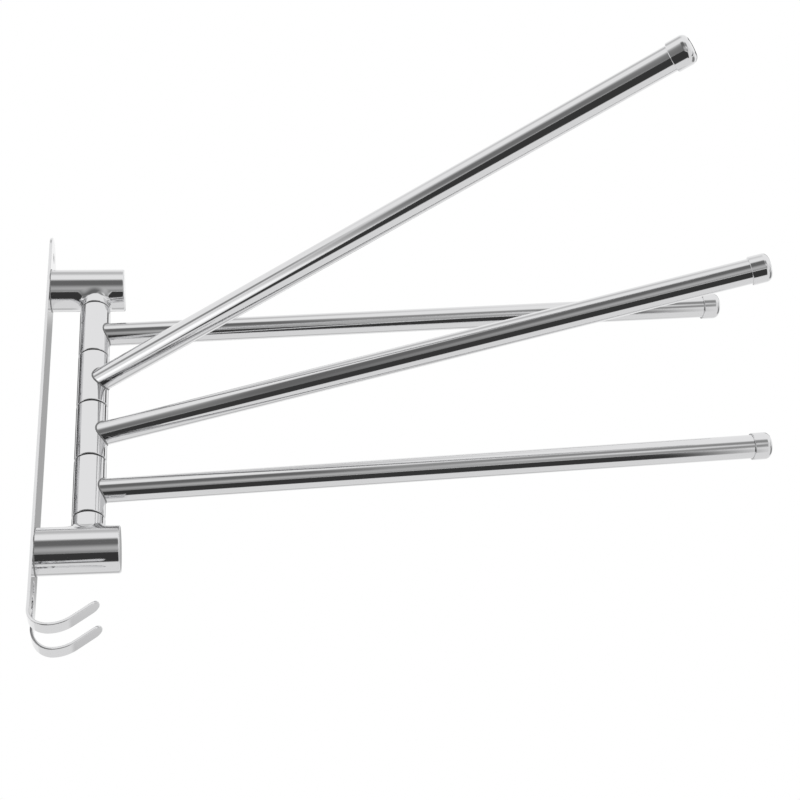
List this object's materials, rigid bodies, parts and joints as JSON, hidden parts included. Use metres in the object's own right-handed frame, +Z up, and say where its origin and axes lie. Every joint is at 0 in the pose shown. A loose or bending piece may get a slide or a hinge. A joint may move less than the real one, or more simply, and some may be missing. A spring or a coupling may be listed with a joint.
{
  "type": "swing arm towel bar",
  "caption": "Wall-mounted towel bar in polished steel: a round-topped plate with hooks carries posts and an upright pivot, on which capped tube arms swing one above another.",
  "frame": {"origin": "on the wall at the back of the plate, midway between the two screw holes", "axes": "+Z up, +Y into the wall, so the front faces -Y; +X to the right as seen from the front"},
  "size_m": [0.2488, 0.3854, 0.2654],
  "materials": {
    "polished_steel": "mirror polished stainless steel",
    "plain_steel": "plain drawn stainless rod",
    "dark_nylon": "dark nylon, matt",
    "white_nylon": "natural nylon, matt"
  },
  "bodies": {
    "wall_frame": {"back_plate": "polished_steel", "upper_post": "polished_steel", "lower_post": "polished_steel", "upper_post_disc": "polished_steel", "lower_post_disc": "polished_steel", "upper_collar": "polished_steel", "lower_collar": "polished_steel", "pivot_rod": "plain_steel", "washer_1": "dark_nylon", "washer_2": "dark_nylon", "washer_3": "dark_nylon", "washer_4": "dark_nylon", "washer_5": "dark_nylon"},
    "arm_1": {"sleeve_1": "polished_steel", "upper_bush_1": "white_nylon", "lower_bush_1": "white_nylon", "arm_tube_1": "polished_steel", "arm_cap_1": "polished_steel"},
    "arm_2": {"sleeve_2": "polished_steel", "upper_bush_2": "white_nylon", "lower_bush_2": "white_nylon", "arm_tube_2": "polished_steel", "arm_cap_2": "polished_steel"},
    "arm_3": {"sleeve_3": "polished_steel", "upper_bush_3": "white_nylon", "lower_bush_3": "white_nylon", "arm_tube_3": "polished_steel", "arm_cap_3": "polished_steel"},
    "arm_4": {"sleeve_4": "polished_steel", "upper_bush_4": "white_nylon", "lower_bush_4": "white_nylon", "arm_tube_4": "polished_steel", "arm_cap_4": "polished_steel"}
  },
  "joints": [
    {"name": "arm_1_swing", "type": "hinge", "parent": "wall_frame", "child": "arm_1", "pos_m": [0, -0.0263, 0.05175], "axis": [0, 0, 1], "range_deg": [-86.9, 93.1]},
    {"name": "arm_2_swing", "type": "hinge", "parent": "wall_frame", "child": "arm_2", "pos_m": [0, -0.0263, 0.01605], "axis": [0, 0, 1], "range_deg": [-50.4, 129.6]},
    {"name": "arm_3_swing", "type": "hinge", "parent": "wall_frame", "child": "arm_3", "pos_m": [0, -0.0263, -0.01965], "axis": [0, 0, 1], "range_deg": [-69.6, 110.4]},
    {"name": "arm_4_swing", "type": "hinge", "parent": "wall_frame", "child": "arm_4", "pos_m": [0, -0.0263, -0.05535], "axis": [0, 0, 1], "range_deg": [-86, 94]}
  ]
}
